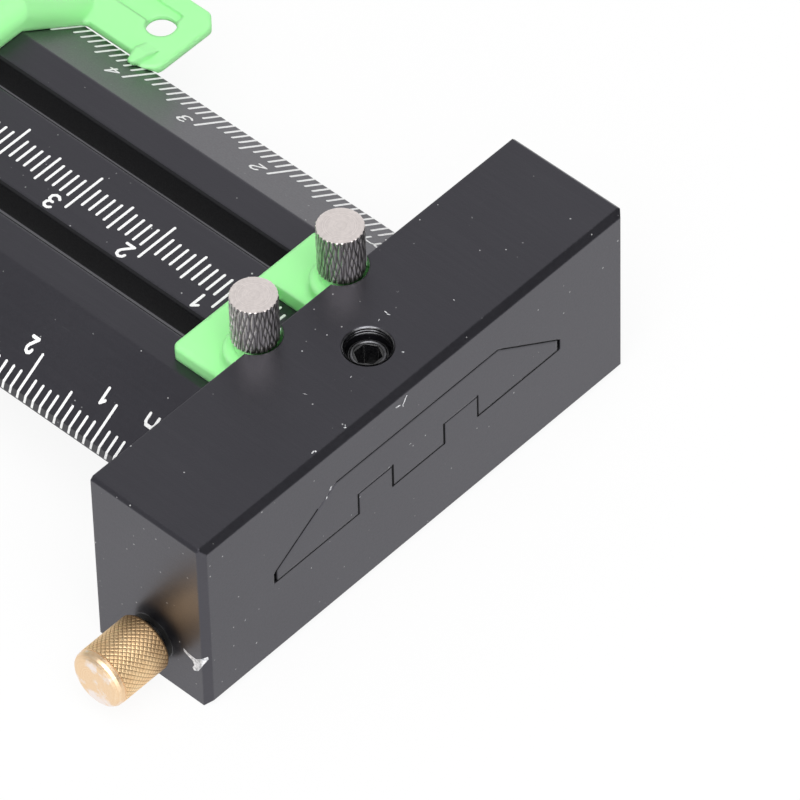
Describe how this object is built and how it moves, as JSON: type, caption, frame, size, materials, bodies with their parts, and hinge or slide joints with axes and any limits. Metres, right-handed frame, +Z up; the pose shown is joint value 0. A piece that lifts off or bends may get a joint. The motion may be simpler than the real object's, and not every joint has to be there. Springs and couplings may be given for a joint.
{
  "type": "marking gauge",
  "caption": "Woodworking marking gauge: a fence block with a slotted, bevelled rule beam, a stop plate and a sliding cursor with pencil holes.",
  "frame": {"origin": "middle of the edge where the fence face meets the underside of the block", "axes": "+X along the fence block, +Y along the beam away from the block, +Z up out of the scale side of the beam"},
  "size_m": [0.068, 0.1766, 0.0282],
  "materials": {
    "black_anodised": "satin black anodised aluminium, lightly scratched",
    "black_steel": "black oxide steel",
    "brass": "turned and knurled brass",
    "steel": "bright machined steel",
    "green_plastic": "moulded bright green plastic",
    "black_plastic": "black moulded nylon"
  },
  "bodies": {
    "gauge": {"fence_block": "black_anodised", "beam": "black_anodised", "scriber_bush": "black_plastic"},
    "set_screw": {"beam_set_screw": "black_steel"},
    "scriber": {"scriber_knob": "brass", "scriber_needle": "black_steel"},
    "stop": {"stop_plate": "green_plastic", "stop_nut_left": "steel", "stop_nut_right": "steel"},
    "stop_screw_left": {"stop_thumb_screw_left": "steel"},
    "stop_screw_right": {"stop_thumb_screw_right": "steel"},
    "cursor": {"cursor_body": "green_plastic", "cursor_nut_left": "steel", "cursor_nut_right": "steel"},
    "cursor_screw_left": {"cursor_thumb_screw_left": "steel"},
    "cursor_screw_right": {"cursor_thumb_screw_right": "steel"}
  },
  "joints": [
    {"name": "stop_slide", "type": "slide", "parent": "gauge", "child": "stop", "axis": [0, 1, 0], "range_m": [0, 0.028]},
    {"name": "cursor_slide", "type": "slide", "parent": "gauge", "child": "cursor", "axis": [0, 1, 0], "range_m": [-0.013, 0.094]},
    {"name": "scriber_pull", "type": "slide", "parent": "gauge", "child": "scriber", "axis": [-1, 0, 0], "range_m": [0, 0.04]},
    {"name": "set_screw_turn", "type": "hinge", "parent": "gauge", "child": "set_screw", "pos_m": [0, -0.0082, 0.019], "axis": [0, 0, 1], "range_deg": [0, 360]},
    {"name": "stop_screw_left_turn", "type": "hinge", "parent": "stop", "child": "stop_screw_left", "pos_m": [-0.0061, 0.001, 0.02235], "axis": [0, 0, 1], "range_deg": [0, 360]},
    {"name": "stop_screw_right_turn", "type": "hinge", "parent": "stop", "child": "stop_screw_right", "pos_m": [0.0061, 0.001, 0.02235], "axis": [0, 0, 1], "range_deg": [0, 360]},
    {"name": "cursor_screw_left_turn", "type": "hinge", "parent": "cursor", "child": "cursor_screw_left", "pos_m": [-0.0061, 0.05705, 0.02235], "axis": [0, 0, 1], "range_deg": [0, 360]},
    {"name": "cursor_screw_right_turn", "type": "hinge", "parent": "cursor", "child": "cursor_screw_right", "pos_m": [0.0061, 0.05705, 0.02235], "axis": [0, 0, 1], "range_deg": [0, 360]}
  ]
}
